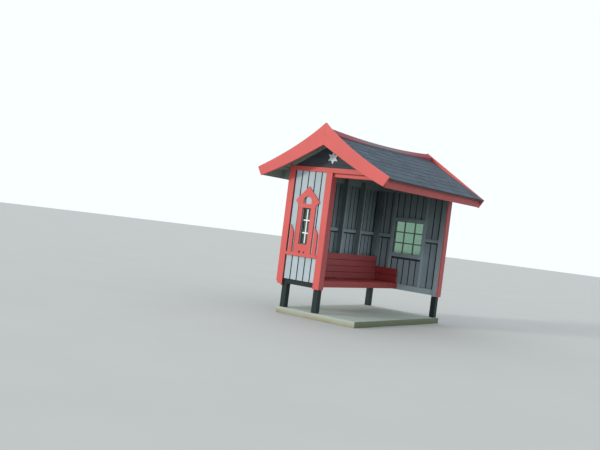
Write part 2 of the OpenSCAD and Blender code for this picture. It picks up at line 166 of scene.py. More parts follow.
def painted_boards(name, paint, shade, worn, roughness=0.6, relief_mm=0.35, patch=0.35,
                   wear=0.5, below=None, below_z_mm=0, painted_light_and_shade=None, painted_light_and_shade_mm=(1150, 2300),
                   painted_light_and_shade_along="Z", shine=0.5):
    """Paint on sawn softwood. below is the paint of what stands under below_z_mm. The paint also
    fades into one more colour where one is given: between two heights it is painted shade up
    under a roof, and between two distances from the middle along X it is a painted sheen."""
    material, tree, place = new_material(name)
    axes = add_node(tree, "SeparateXYZ", links={0: place})
    grain = add_node(tree, "Attribute", {"attribute_name": "grain_mm"}).outputs["Vector"]
    tone, corner = (add_node(tree, "Attribute", {"attribute_name": mark}).outputs["Fac"]
                    for mark in ("board_tone", "edge_wear"))
    fibres_per_mm = (1 / FIBRE_LENGTH_MM, 1 / FIBRE_WIDTH_MM, 1 / FIBRE_WIDTH_MM)
    along = add_node(tree, "VectorMath", {"operation": "MULTIPLY", 1: fibres_per_mm},
                     {0: grain})
    fibre = add_node(tree, "TexNoise", {"Scale": 1.0, "Detail": 4.0}, {"Vector": along})
    patches, spots = (
        add_node(tree, "TexNoise", {"Scale": 1000 / size_mm, "Detail": detail}, {"Vector": place})
        for size_mm, detail in ((PATCH_MM, 5.0), (WEAR_SPOT_MM, 3.0)))
    # Broad patches, the grain and the tone of each board let the shade colour show
    soft = add_node(tree, "MapRange", {"From Min": 0.35, "From Max": 0.7, "To Max": patch},
                    {"Value": patches})
    grainy = add_node(tree, "MapRange", {"From Min": 0.4, "From Max": 0.75,
                                         "To Max": GRAIN_SHARE}, {"Value": fibre})
    both = add_node(tree, "Math", {"operation": "ADD"}, {0: soft, 1: grainy})
    toned = add_node(tree, "Math", {"operation": "MULTIPLY_ADD", 1: TONE_SHARE},
                     {0: tone, 2: both})
    colour = add_node(tree, "Mix", {"data_type": "RGBA", 6: linear(paint), 7: linear(shade)},
                      {0: toned})
    # Corners lose their paint in spots; painted light and shade and the lower paint lie over all
    bare = add_node(tree, "MapRange", {"From Min": 0.45, "From Max": 0.62, "To Max": wear},
                    {"Value": spots})
    layers = [(worn, add_node(tree, "Math", {"operation": "MULTIPLY"}, {0: bare, 1: corner}))]
    if painted_light_and_shade:
        distance = add_node(tree, "Math", {"operation": "ABSOLUTE"},
                            {0: axes.outputs[painted_light_and_shade_along]})
        plain_at, full_at = (limit * MM for limit in painted_light_and_shade_mm)
        layers.append((painted_light_and_shade, add_node(
            tree, "MapRange", {"From Min": plain_at, "From Max": full_at, "To Max": MOST_PAINTED_LIGHT_AND_SHADE},
            {"Value": distance})))
    if below:
        above, under = ((below_z_mm + s * PAINT_LINE_MM) * MM for s in (1, -1))
        layers.append((below, add_node(tree, "MapRange", {"From Min": above, "From Max": under},
                                       {"Value": axes.outputs["Z"]})))
    for layer, share in layers:
        colour = add_node(tree, "Mix", {"data_type": "RGBA", 7: linear(layer)},
                          {0: share, 6: colour})
    dull = add_node(tree, "MapRange", {"To Min": roughness - GLOSS_SPREAD,
                                       "To Max": roughness + GLOSS_SPREAD}, {"Value": fibre})
    ridges = add_node(tree, "Bump", {"Strength": 0.7, "Distance": relief_mm * MM},
                      {"Height": fibre})
    surface = add_node(tree, "BsdfPrincipled", {"IOR": 1.5, "Specular IOR Level": shine},
                       {"Base Color": colour, "Roughness": dull, "Normal": ridges})
    close_material(tree, surface)
    return material


LEG_TOP_MM = 485
BOARD_FOOT_MM = 585
coral_red = painted_boards(
    "coral_red_house_paint", "#d35754", "#be4a46", "#c99a86", roughness=0.5, wear=0.3)
# A deeper red for the faces that look to the front: painted shade.
crimson_painted_shade = painted_boards(
    "crimson_painted_shade_on_trim", "#ae4b4e", "#9a4043", "#a87c6c", roughness=0.55, wear=0.3)
# The fascias' browner red is painted shade.
fascia_red_painted_shade = painted_boards(
    "fascia_red_with_painted_shade", "#b44644", "#963836", "#a87c6c", roughness=0.55, wear=0.3)
# The ridge boards fade to pale grey towards the middle: a painted sky sheen, and dirt.
ridge_red_with_painted_sheen = painted_boards(
    "ridge_paint_with_painted_sheen_and_dirt", "#9b4450", "#84404a", "#8d898a", roughness=0.7, patch=0.5,
    wear=0.5, painted_light_and_shade="#756f73", painted_light_and_shade_mm=(1400, 350), painted_light_and_shade_along="X", shine=0.2)
bench_red = painted_boards(
    "dark_red_bench_paint", "#a83c3d", "#8a3032", "#9f7a6a", roughness=0.5, wear=0.4)
# A lighter red on the seat's front edge: painted light.
seat_edge_painted_light = painted_boards(
    "seat_edge_red_with_painted_light", "#d04e4e", "#b04243", "#b08070", roughness=0.5, wear=0.3)
backrest_red = painted_boards(
    "rubbed_red_backrest_paint", "#b05254", "#934245", "#a88a7c", roughness=0.5, wear=0.5)
# Dark brown for the gaps of the bench: painted shade.
gap_painted_shade = painted_boards(
    "painted_shade_in_bench_gaps", "#1e0e0d", "#160a0a", "#1e0e0d", roughness=0.8, wear=0.0)
wall_paint = painted_boards(
    "pale_grey_wall_paint", "#b4c3cb", "#97a8b0", "#94938b", roughness=0.65)
# Inside faces: a darker grey than outside as painted shade, darker still up under the roof
inside_painted_shade = painted_boards(
    "grey_inside_paint_with_painted_shade", "#9fb1b9", "#8797a0", "#85837c", roughness=0.7, patch=0.3,
    painted_light_and_shade="#5a6665")
# The framing darkens up under the roof: painted shade.
framing_paint = painted_boards(
    "pale_grey_framing_paint", "#acbcc3", "#95a5ad", "#94938b", roughness=0.65,
    painted_light_and_shade="#66716c")
# Stud sides that look along the ridge: a darker grey as painted shade.
stud_side_painted_shade = painted_boards(
    "grey_paint_with_painted_shade_on_stud_sides", "#7e8c94", "#6b7880", "#6d6d68", roughness=0.7,
    painted_light_and_shade="#5f6b68")
# Grooves and the strips behind them are dark: painted shade in the recess, and dirt.
groove_painted_shade_and_dirt = painted_boards(
    "dark_grey_painted_shade_and_dirt", "#363d42", "#2a3035", "#363d42", roughness=0.8, wear=0.0)
# The far posts darken up under the roof as painted shade. The post in the rear corner is darker
# all over and from lower down, also as painted shade.
far_post_paint = painted_boards(
    "grey_post_paint_over_tar_black", "#a3b1b9", "#86949c", "#7c7a72", below="#1c2c2b",
    below_z_mm=LEG_TOP_MM, painted_light_and_shade="#56635f", shine=0.3)
corner_post_paint = painted_boards(
    "post_paint_with_painted_shade_over_tar_black", "#8c9aa2", "#76848c", "#7c7a72", below="#1c2c2b",
    below_z_mm=LEG_TOP_MM, painted_light_and_shade="#3f4946", painted_light_and_shade_mm=(900, 1900), shine=0.3)
near_post_paint = painted_boards(
    "grey_post_paint_over_high_tar_black", "#a3b1b9", "#86949c", "#7c7a72", below="#1c2c2b",
    below_z_mm=BOARD_FOOT_MM, shine=0.3)
tar_black = painted_boards(
    "tar_black_paint", "#202c2e", "#182224", "#3c3a36", roughness=0.6, shine=0.3)
dark_stain = painted_boards(
    "dark_stain_on_roof_boards", "#3e454c", "#2f353c", "#50524f", roughness=0.75, wear=0.2)
# The paler stain under the eaves is painted light.
soffit_stain_painted_light = painted_boards(
    "pale_stain_with_painted_light_under_the_eaves", "#8b9c91", "#75857b", "#7f827b", roughness=0.75,
    wear=0.2)
sash_paint = painted_boards("dull_sash_paint", "#596260", "#474f4e", "#5d5c55", wear=0.2)
bar_green = painted_boards(
    "grey_green_window_bar_paint", "#6e8576", "#5f7467", "#6d6d62", wear=0.2)
bar_white = painted_boards(
    "white_window_bar_paint", "#f4f9fd", "#e2e8ee", "#b9b4a8", roughness=0.45, relief_mm=0.1,
    patch=0.2)
star_white = painted_boards(
    "off_white_star_paint", "#dfe9f1", "#ccd6dd", "#b0aea6", roughness=0.5, relief_mm=0.15)
print("paints:", len(bpy.data.materials))

# %% [markdown]
# ## Concrete
# The slab was cast on the spot and floated by hand. Cement paste gives a grey skin with
# cloudy patches, sand shows as fine speckle, and soil has splashed up its sides. The front
# side, which stays in the shade, is painted darker and greener: moss, and painted shade. The
# sand is 1 to 3 mm and is drawn at 6 mm so that it shows. Concrete is rough, about 0.9.

# %% Weathered concrete
SAND_MM = 6
CLOUD_MM = 500
SOIL_REACH_MM = 98      # how high the splashes reach, and how high they are dense
SOIL_FULL_MM = 30
MOSS_AND_SHADE_FULL_Y_MM = box_mm("floor_slab")[0].y + 8
MOSS_AND_SHADE_FROM_Y_MM = MOSS_AND_SHADE_FULL_Y_MM + 14

concrete, tree, place = new_material("weathered_cast_concrete")
axes = add_node(tree, "SeparateXYZ", links={0: place})
clouds, sand = (
    add_node(tree, "TexNoise", {"Scale": 1000 / size_mm, "Detail": detail}, {"Vector": place})
    for size_mm, detail in ((CLOUD_MM, 6.0), (SAND_MM, 3.0)))
speckle = add_node(tree, "MapRange", {"From Min": 0.55, "From Max": 0.8, "To Max": 0.5},
                   {"Value": sand})
low_down = add_node(tree, "MapRange", {"From Min": SOIL_REACH_MM * MM,
                                       "From Max": SOIL_FULL_MM * MM, "To Max": 1.3},
                    {"Value": axes.outputs["Z"]})
splash = add_node(tree, "Math", {"operation": "MULTIPLY"}, {0: low_down, 1: clouds})
# the front side turns darker and greener: moss, and painted shade
moss_and_shade = add_node(tree, "MapRange", {"From Min": MOSS_AND_SHADE_FROM_Y_MM * MM,
                                   "From Max": MOSS_AND_SHADE_FULL_Y_MM * MM, "To Max": 0.8},
                {"Value": axes.outputs["Y"]})
colour = add_node(tree, "Mix", {"data_type": "RGBA", 6: linear("#9faaa5"),
                                7: linear("#bac6be")}, {0: clouds})
for layer, share in (("#6f6f6a", speckle), ("#8f8157", splash), ("#4f5c40", moss_and_shade)):
    colour = add_node(tree, "Mix", {"data_type": "RGBA", 7: linear(layer)},
                      {0: share, 6: colour})
pits = add_node(tree, "Bump", {"Strength": 0.6, "Distance": 1.2 * MM}, {"Height": sand})
surface = add_node(tree, "BsdfPrincipled", {"Roughness": 0.9, "IOR": 1.5},
                   {"Base Color": colour, "Normal": pits})
close_material(tree, surface)
print("made", concrete.name)

# %% [markdown]
# ## Bitumen shingles
# The roof covering is felt soaked in bitumen and pressed full of crushed slate. The
# granules are about 1.5 mm and sparkle slightly; they are drawn at 5 mm. Each shingle comes
# from another place in the batch, so the tone jumps from tab to tab, and rain has washed
# paler streaks down the slope. Mineral felt is very rough, about 0.9.

# %% Mineral shingles
GRANULE_MM = 5
STREAK_MM = 260

shingle, tree, place = new_material("slate_blue_bitumen_shingle")
tone = add_node(tree, "Attribute", {"attribute_name": "board_tone"}).outputs["Fac"]
granules = add_node(tree, "TexVoronoi", {"Scale": 1000 / GRANULE_MM}, {"Vector": place})
streaks = add_node(tree, "TexNoise", {"Scale": 1000 / STREAK_MM, "Detail": 5.0},
                   {"Vector": place})
grit = add_node(tree, "SeparateColor", links={0: granules.outputs["Color"]})
light_grit = add_node(tree, "MapRange", {"From Min": 0.5, "To Max": 0.35}, {"Value": grit})
washed = add_node(tree, "MapRange", {"From Min": 0.45, "From Max": 0.75, "To Max": 0.35},
                  {"Value": streaks})
colour = add_node(tree, "Mix", {"data_type": "RGBA", 6: linear("#384650"),
                                7: linear("#455566")}, {0: tone})
for layer, share in (("#637380", light_grit), ("#566874", washed)):
    colour = add_node(tree, "Mix", {"data_type": "RGBA", 7: linear(layer)},
                      {0: share, 6: colour})
rough_face = add_node(tree, "Bump", {"Strength": 0.6, "Distance": 0.8 * MM},
                      {"Height": granules})
surface = add_node(tree, "BsdfPrincipled", {"Roughness": 0.9, "IOR": 1.5},
                   {"Base Color": colour, "Normal": rough_face})
close_material(tree, surface)
print("made", shingle.name)

# %% [markdown]
# ## Glass and nails
# The panes are ordinary float glass, clear with a faint green in its depth, IOR 1.52, and a
# film of dust that makes it slightly rough in patches and a little milky. The nails are
# hot-dip galvanised steel, which dulls to a mottled grey: metallic, roughness about 0.5.

# %% Float glass and galvanised steel
DUST_MM = 150
SPANGLE_MM = 3

glass, tree, place = new_material("dusty_float_glass")
dust = add_node(tree, "TexNoise", {"Scale": 1000 / DUST_MM, "Detail": 4.0},
                {"Vector": place})
film = add_node(tree, "MapRange", {"To Max": 0.12}, {"Value": dust})
surface = add_node(tree, "BsdfPrincipled", {"Base Color": linear("#86a792"),
                                            "Transmission Weight": 0.92, "IOR": 1.52},
                   {"Roughness": film})
close_material(tree, surface)

nail_steel, tree, place = new_material("galvanised_nail_steel")
spangle = add_node(tree, "TexVoronoi", {"Scale": 1000 / SPANGLE_MM}, {"Vector": place})
mottle = add_node(tree, "MapRange", {"To Min": 0.4, "To Max": 0.6}, {"Value": spangle})
surface = add_node(tree, "BsdfPrincipled", {"Base Color": linear("#8d9294"), "Metallic": 1.0},
                   {"Roughness": mottle})
close_material(tree, surface)
print("made", glass.name, "and", nail_steel.name)

# %% [markdown]
# ## Boards as meshes
# A carpenter's board is a flat outline with a thickness, so every board here starts as an
# outline drawn in millimetres and pushed out along one axis. Saw-cut corners are never
# sharp: a plane or the paint rounds them by a millimetre or two, and that thin round is what
# catches the light between two boards. A Bevel modifier could do it, but a bevel in mesh code
# also tells which faces are corners, and the paint recipe wants to know that.


# %% Board helpers
chance = random.Random(7)
WHOLE_FACE = math.radians(1)        # faces this close to flat are one face
SHARP_CORNER = math.radians(25)     # corners over this angle are rounded
BEND_CUTS_M = [x / 10 for x in range(-16, 17, 2)]
ROUND_PROFILE = 0.6                 # a little fuller than a plain arc
SAWN_ROUND_MM = 1.5
GRAIN_START_MM = 2000               # each board starts at its own place in the grain
WELD_MM = 0.02
UPRIGHT = (0, 0, 1)
LENGTHWISE = (1, 0, 0)


def push_out(mesh, outline, axis, low, high):
    """Adds a prism: an outline in the plane square to the axis, between two faces."""
    def corner(point, depth):
        a, b = point
        place = {"x": (depth, a, b), "y": (a, depth, b), "z": (a, b, depth)}[axis]
        return Vector(place) * MM
    near = [mesh.verts.new(corner(p, low)) for p in outline]
    far = [mesh.verts.new(corner(p, high)) for p in outline]
    faces = [mesh.faces.new(near), mesh.faces.new(far)]
    for i in range(len(outline)):
        j = (i + 1) % len(outline)
        faces.append(mesh.faces.new((near[i], near[j], far[j], far[i])))
    return faces


def box_outline(a0, a1, b0, b1):
    """The four corners of a rectangle."""
    return [(a0, b0), (a1, b0), (a1, b1), (a0, b1)]


def solid_copy(node):
    """The mesh of a solid, with its flat faces made whole again."""
    mesh = bmesh.new()
    mesh.from_mesh(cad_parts[node].data)
    bmesh.ops.remove_doubles(mesh, verts=mesh.verts, dist=WELD_MM * MM)
    bmesh.ops.dissolve_limit(mesh, angle_limit=WHOLE_FACE, verts=mesh.verts, edges=mesh.edges)
    return mesh


def cut_across(mesh, place, normal):
    """Cuts all of a mesh along a plane and keeps both sides."""
    bmesh.ops.bisect_plane(mesh, geom=mesh.verts[:] + mesh.edges[:] + mesh.faces[:],
                           plane_co=place, plane_no=normal)


def separate_boards(mesh):
    """The boards of a mesh, each as the list of its vertices."""
    left = set(mesh.verts)
    boards = []
    for start in mesh.verts:
        if start not in left:
            continue
        left.discard(start)
        board, edge_of_search = [start], [start]
        while edge_of_search:
            vert = edge_of_search.pop()
            for edge in vert.link_edges:
                other = edge.other_vert(vert)
                if other in left:
                    left.discard(other)
                    board.append(other)
                    edge_of_search.append(other)
        boards.append(board)
    return boards


def mark_grain(mesh, grain_axis=None):
    """Gives each board its place along the grain in millimetres and its own tone."""
    grain_mm = mesh.verts.layers.float_vector.new("grain_mm")
    board_tone = mesh.verts.layers.float.new("board_tone")
    boards = separate_boards(mesh)
    for board in boards:
        if grain_axis:
            along = Vector(grain_axis)
        else:
            edges = {edge for vert in board for edge in vert.link_edges}
            longest = max(edges, key=lambda edge: edge.calc_length())
            along = (longest.verts[1].co - longest.verts[0].co).normalized()
        across = along.orthogonal().normalized()
        third = along.cross(across)
        start = Vector([chance.uniform(0, GRAIN_START_MM) for _ in range(3)])
        tone = chance.random()
        for vert in board:
            place = Vector((vert.co.dot(along), vert.co.dot(across), vert.co.dot(third)))
            vert[grain_mm] = place / MM + start
            vert[board_tone] = tone
    return len(boards)


def place_piece(name, mesh, materials, slot, nodes=(), round_mm=2.0, choose=None,
                grain_axis=None, settle=None):
    """Rounds the corners, paints the piece and lets it ride on the frame. choose picks the
    material of a face, and settle moves the points of a piece that has bent with the roof."""
    bmesh.ops.recalc_face_normals(mesh, faces=mesh.faces)
    for x in BEND_CUTS_M if settle else ():
        cut_across(mesh, (x, 0, 0), LENGTHWISE)
    edge_wear = mesh.faces.layers.float.new("edge_wear")
    if round_mm:
        sharp = [e for e in mesh.edges
                 if len(e.link_faces) == 2 and e.calc_face_angle(0) > SHARP_CORNER]
        made = bmesh.ops.bevel(mesh, geom=sharp, offset=round_mm * MM, segments=2,
                               profile=ROUND_PROFILE, affect="EDGES", clamp_overlap=True)
        for face in made["faces"]:
            face[edge_wear] = 1.0
    count = mark_grain(mesh, grain_axis)
    if choose:
        for face in mesh.faces:
            face.material_index = choose(face)
    if settle:
        for vert in mesh.verts:
            vert.co = settle(vert.co)
    for face in mesh.faces:
        face.smooth = True
    data = bpy.data.meshes.new(name)
    mesh.to_mesh(data)
    mesh.free()
    for material in materials:
        data.materials.append(material)
    piece = bpy.data.objects.new(name, data)
    scene.collection.objects.link(piece)
    piece.modifiers.new("even_faces", "WEIGHTED_NORMAL").keep_sharp = True
    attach(piece, "root")
    if nodes:
        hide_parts(*nodes)
    print(f"{name}: {count} boards, {len(data.polygons)} faces")


def paint_solid(node, paints, slot, round_mm=2.0, name=None, **more):
    """Rounds and paints a copy of a solid that already has the right shape."""
    place_piece(name or node + "_painted", solid_copy(node), paints, slot, [node], round_mm,
                **more)


# %% [markdown]
# ## Posts, beams and studs
# The frame is square-sawn timber that was painted in place. Its solids already have the
# right shape, so each is copied, its corners are rounded and it gets its paint. The legs
# were dipped in tar black up to where the walls start; above that line the posts are grey.
# The near header is red like the trim, while the far one is grey like the inside.

# %% Posts and beams
FRAME_ROUND_MM = 3.0
for node, paint in (("post_rear_left", near_post_paint), ("post_gable_middle", near_post_paint),
                    ("post_rear_right", corner_post_paint), ("post_front_right", far_post_paint)):
    paint_solid(node, [paint], "post_paint", FRAME_ROUND_MM, grain_axis=UPRIGHT)

paint_solid("gable_headers", [coral_red, framing_paint], "red_paint", FRAME_ROUND_MM,
            "headers_painted", choose=lambda face: int(face.calc_center_median().x > 0))
for node in ("front_plate", "rear_plate"):
    paint_solid(node, [framing_paint], "grey_paint", FRAME_ROUND_MM)

# %% Studs
end_studs_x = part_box("wide_window_lining")[0].x - 20 * MM    # they all stand beyond this


def stud_coat(face):
    """1 for the faces that look along the ridge, which take a darker grey as painted shade, and 0
    for the rest and for all of the end wall's studs."""
    return int(abs(face.normal.x) > 0.5 and face.calc_center_median().x < end_studs_x)


paint_solid("wall_studs", [framing_paint, stud_side_painted_shade], "grey_paint",
            name="studs_painted", choose=stud_coat, grain_axis=UPRIGHT)

# %% [markdown]
# The rails are grey inside. The bottom rail of the half wall shows below its boards, and its
# outer face was blacked together with the legs, so that face is picked by its place.

# %% Rails
half_wall_low, half_wall_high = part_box("half_wall")
outer_face_x = half_wall_high.x + 5 * MM        # just inside the boards
bottom_rail_z = half_wall_low.z + 50 * MM
rail_end_y = half_wall_high.y - 100 * MM


def rail_coat(face):
    """1 for the tarred outer face of the half wall's bottom rail, 0 for grey."""
    middle = face.calc_center_median()
    return int(middle.x < outer_face_x and middle.z < bottom_rail_z
               and middle.y < rail_end_y)


paint_solid("wall_rails", [framing_paint, tar_black], "grey_paint", name="rails_painted",
            choose=rail_coat)

# %% [markdown]
# ## Board walls
# The walls are upright boards with a narrow sunk strip between them. The strip is painted dark:
# painted shade in the recess, and dirt. One grooved panel with a bump map would look right
# from the front only, so each board is its own outline, cut round the window where it meets it,
# and thin dark strips stand behind the gaps. The boards are 112 mm wide and repeat every 132 mm.

# %% Wall board helpers
BOARD_PITCH_MM = 132
GROOVE_W_MM = 20
GROOVE_SINK_MM = 8
GROOVE_START_MM = 46
BACKING_LAP_MM = 3      # how far a dark strip reaches behind its boards
BACKING_SHORT_MM = 2


def cut_round(a0, a1, z0, z1, hole):
    """Outlines of an upright board between a0 and a1, cut round a window hole."""
    if not hole or a1 <= hole[0] or a0 >= hole[1]:
        return [box_outline(a0, a1, z0, z1)]
    h0, h1, low, high = hole
    if a0 >= h0 and a1 <= h1:
        return [box_outline(a0, a1, z0, low), box_outline(a0, a1, high, z1)]
    if a0 < h0:
        return [[(a0, z0), (a1, z0), (a1, low), (h0, low), (h0, high), (a1, high),
                 (a1, z1), (a0, z1)]]
    return [[(a0, z0), (a1, z0), (a1, z1), (a0, z1), (a0, high), (h1, high), (h1, low),
             (a0, low)]]


def wall_of_boards(node, axis, hole, looks_in):
    """Boards and dark strips that fill a wall's solid. Gives the edges of the boards."""
    low, high = box_mm(node)
    if axis == "x":
        start, end, face_low, face_high = low.y, high.y, low.x, high.x
    else:
        start, end, face_low, face_high = low.x, high.x, low.y, high.y
    grooves = []
    place = GROOVE_START_MM - BOARD_PITCH_MM * 20   # well outside the wall
    while place < end - GROOVE_W_MM:
        if place > start + GROOVE_W_MM:
            grooves.append(place)
        place += BOARD_PITCH_MM
    edges = [start] + [g + s * GROOVE_W_MM / 2 for g in grooves for s in (-1, 1)] + [end]
    boards, strips = bmesh.new(), bmesh.new()
    for a0, a1 in zip(edges[0::2], edges[1::2]):
        for outline in cut_round(a0, a1, low.z, high.z, hole):
            push_out(boards, outline, axis, face_low, face_high)
    for g in grooves:
        a0, a1 = (g + s * (GROOVE_W_MM / 2 + BACKING_LAP_MM) for s in (-1, 1))
        for outline in cut_round(a0, a1, low.z + BACKING_SHORT_MM, high.z - BACKING_SHORT_MM,
                                 hole):
            push_out(strips, outline, axis, face_low + GROOVE_SINK_MM,
                     face_high - GROOVE_SINK_MM)

    def coat(face):
        """0 outside, 1 inside, which is painted shade, and 2 for the sides of the grooves,
        which are painted shade and dirt.
        """
        if face.normal.dot(looks_in) > 0.5:
            return 1
        return 2 if abs(face.normal.cross(looks_in).z) > 0.9 else 0

    place_piece(node + "_boards", boards, [wall_paint, inside_painted_shade, groove_painted_shade_and_dirt],
                "grey_paint", [node], choose=coat, grain_axis=UPRIGHT)
    place_piece(node + "_boards_strips", strips, [groove_painted_shade_and_dirt], "grey_paint", (), 0.0,
                grain_axis=UPRIGHT)
    return edges


def hole_of(lining):
    """The hole that a window lining fills: two sides, bottom and top, in millimetres."""
    low, high = box_mm(lining)
    return low.y, high.y, low.z, high.z


# %% Three board walls
WALLS = (("half_wall", "x", hole_of("narrow_window_lining"), Vector((1, 0, 0))),
         ("end_wall", "x", hole_of("wide_window_lining"), Vector((-1, 0, 0))),
         ("rear_wall", "y", None, Vector((0, -1, 0))))
board_edges = {wall[0]: wall_of_boards(*wall) for wall in WALLS}

# %% [markdown]
# Under the middle rails and under the square window a black line runs along the boards: a thin
# dark strip that stands as painted shadow under the rails and the sill. It is as thin as a slat,
# and is cut between the studs.

# %% Painted shadow strips
STRIP_H_MM = 26
WINDOW_STRIP_H_MM = 38
STRIP_T_MM = 6
GIRT_FOOT_MM = 1467         # the underside of the middle rails
WINDOW_RAIL_MM = 48         # the rail between the square window and its strip
WINDOW_STUD_MM = 49
REAR_STRIP_X_MM = 1360
END_STRIP_Y_MM = (-660, 620)
rear_inner_mm = box_mm("rear_wall")[0].y
end_inner_mm = box_mm("end_wall")[0].x
window = hole_of("wide_window_lining")
mesh = bmesh.new()
push_out(mesh, box_outline(-REAR_STRIP_X_MM, REAR_STRIP_X_MM, GIRT_FOOT_MM - STRIP_H_MM,
                           GIRT_FOOT_MM - 1), "y", rear_inner_mm - STRIP_T_MM, rear_inner_mm)
for y0, y1, top, strip_h_mm in (
        (END_STRIP_Y_MM[0], window[0] - WINDOW_STUD_MM, GIRT_FOOT_MM, STRIP_H_MM),
        (window[1] + WINDOW_STUD_MM, END_STRIP_Y_MM[1], GIRT_FOOT_MM, STRIP_H_MM),
        (window[0], window[1], window[2] - WINDOW_RAIL_MM, WINDOW_STRIP_H_MM)):
    push_out(mesh, box_outline(y0, y1, top - strip_h_mm, top - 1), "x",
             end_inner_mm - STRIP_T_MM, end_inner_mm)
place_piece("painted_shadow_strips", mesh, [groove_painted_shade_and_dirt], "grey_paint", (), 0.0)

# %% [markdown]
# ## Roof geometry
# Roof boards and shingles lie on a slope, so they are easiest to draw in the slope's own
# measures: how far down the slope from the ridge, and how far above the roof boards. One
# function turns that pair into a place across the shelter, for the front or the rear slope.

# %% Slope measures
PITCH = math.radians(28.8)
FELT_MM = 8
ROOF_BOARD_MM = 22
RIDGE_BOARD_MM = 22
roof_low, roof_high = box_mm("rear_shingles")
deck_low, deck_high = box_mm("rear_roof_deck")
ridge_base_mm = roof_high.z - FELT_MM / math.cos(PITCH)
REAR, FRONT = 1, -1


def on_slope(side, down, above):
    """The (y, z) in millimetres of a point down the slope and above the roof boards."""
    y = down * math.cos(PITCH) + above * math.sin(PITCH)
    z = ridge_base_mm - down * math.sin(PITCH) + above * math.cos(PITCH)
    return side * y, z


slope_length_mm = (roof_high.y - FELT_MM * math.sin(PITCH)) / math.cos(PITCH)
print("slope", round(slope_length_mm), "mm, ridge base", round(ridge_base_mm), "mm")

# %% [markdown]
# The ridge of this shelter has settled over the years: seen from the front it hangs in a
# shallow curve between the bargeboards, and the eaves are still straight. The roof's pieces
# are drawn straight and then moved up or down by one small function, so that shingles,
# boards and rafters stay together. It does most at the ridge and nothing at the eaves. The
# ridge boards are packed up further at the far end, where the roof itself rises less.

# %% Settled ridge
SAG_MM = 26
SAG_LOWEST_X_MM = -350
SAG_CURVE = 2.0e-5      # millimetres of rise for a square millimetre of distance
ROOF_RISE_MM = 16       # the most that the shingles rise at the far end
SETTLE_FROM_MM = 2400
RIDGE_EDGE_MM = 90      # what lies further out is the lower edge of a ridge board
WIDEN_FROM_X_MM = -350
WIDEN_RATE = 0.075


def ridge_rise(x_mm):
    """How far the top of the ridge boards stands above a straight ridge, in millimetres."""
    return SAG_CURVE * (x_mm - SAG_LOWEST_X_MM) ** 2 - SAG_MM


def settled(place):
    """Where a point of the roof is after it has moved up or down."""
    share = (place.z / MM - SETTLE_FROM_MM) / (ridge_base_mm - SETTLE_FROM_MM)
    share = min(max(share, 0.0), 1.0)
    rise = ridge_rise(place.x / MM)
    if rise > 0:
        rise = ROOF_RISE_MM * math.tanh(rise / ROOF_RISE_MM)
    return place + Vector((0, 0, rise * share ** 2 * MM))


def packed_up(place):
    """The same for a ridge board, whose top follows the ridge's own curve. The front board
    also widens towards the near gable."""
    above_roof = place.z / MM - ridge_base_mm + abs(place.y) / MM * math.tan(PITCH)
    if above_roof > FELT_MM + RIDGE_BOARD_MM / 2:
        moved = place + Vector((0, 0, ridge_rise(place.x / MM) * MM))
    else:
        moved = settled(place)
    if place.y < -RIDGE_EDGE_MM * MM:
        wider = max(WIDEN_FROM_X_MM - place.x / MM, 0) * WIDEN_RATE * MM
        moved += Vector((0, -math.cos(PITCH), -math.sin(PITCH))) * wider
    return moved


print("ridge moves", [round(ridge_rise(x)) for x in (-1700, 0, 1700)], "mm")

# %% [markdown]
# ## Roof boards
# From below the roof is dark-stained boards that run along the eaves, with narrow gaps. A
# plane with a line texture would be flat at the edges of the gaps, so the boards are drawn
# one by one. Their undersides take a paler stain as painted light under the eaves, and their
# edges keep the dark stain as painted shadow: a dark line between the shingles and the fascia.

# %% Roof boards
ROOF_BOARDS = 12
ROOF_GAP_MM = 9
ROOF_JOINT_MM = 0.5     # half of the gap under the ridge
LOOKS_DOWN = -0.7       # the height part of the normal of an underside is less than this


def roof_boards(name, node, side):
    """Boards along the eaves that fill the solid of one roof slope."""
    first = ROOF_BOARD_MM * math.tan(PITCH) + ROOF_JOINT_MM
    last = deck_high.y / math.cos(PITCH)
    width = (last - first + ROOF_GAP_MM) / ROOF_BOARDS
    mesh = bmesh.new()
    for i in range(ROOF_BOARDS):
        a, b = first + i * width, first + (i + 1) * width - ROOF_GAP_MM
        outline = [on_slope(side, a, -ROOF_BOARD_MM), on_slope(side, b, -ROOF_BOARD_MM),
                   on_slope(side, b, 0), on_slope(side, a, 0)]
        push_out(mesh, outline, "x", deck_low.x, deck_high.x)
    place_piece(name, mesh, [soffit_stain_painted_light, dark_stain], "dark_stain", [node], SAWN_ROUND_MM,
                choose=lambda face: int(face.normal.z > LOOKS_DOWN), grain_axis=LENGTHWISE,
                settle=settled)


# Undersides take the paler stain as painted light, and the edges the dark stain as painted
# shadow.
roof_boards("front_roof_boards", "front_roof_deck", FRONT)
roof_boards("rear_roof_boards", "rear_roof_deck", REAR)
# The rear rafters take the paler stain as painted light, the front ones the dark stain.
for node, stain in (("front_rafters", dark_stain), ("rear_rafters", soffit_stain_painted_light)):
    paint_solid(node, [stain], "dark_stain", name=node + "_stained", settle=settled)

# %% [markdown]
# ## Shingles
# A shingle strip is a metre long with slots that part it into three tabs. Strips are laid
# from the eaves up, each lapped over the one below and moved by half a tab. Every tab is
# thin at its hidden top and thick at its lower edge, so a small step shows along each
# course. The tabs are meshes of their own over one thin sheet of felt.

# %% Shingle courses
COURSE_MM = 158
TAB_MM = 1000 / 3
SLOT_MM = 4
SHEET_MM = 2.4
SHEET_SHORT_MM = 3      # how far the felt stays behind the lowest tabs
LAP_MM = 30
LAST_COURSE_MM = 40     # a shorter course than this isn't laid
LAST_TAB_MM = 12
TAB_LIFT_MM = (6.6, 7.7)
TAB_SINK_MM = 0.6       # how far a tab reaches into the felt
TAB_TOP_MM = 0.8        # how thick its hidden top is
COURSE_SHIFT_MM = 15
RAGGED_MM = 2


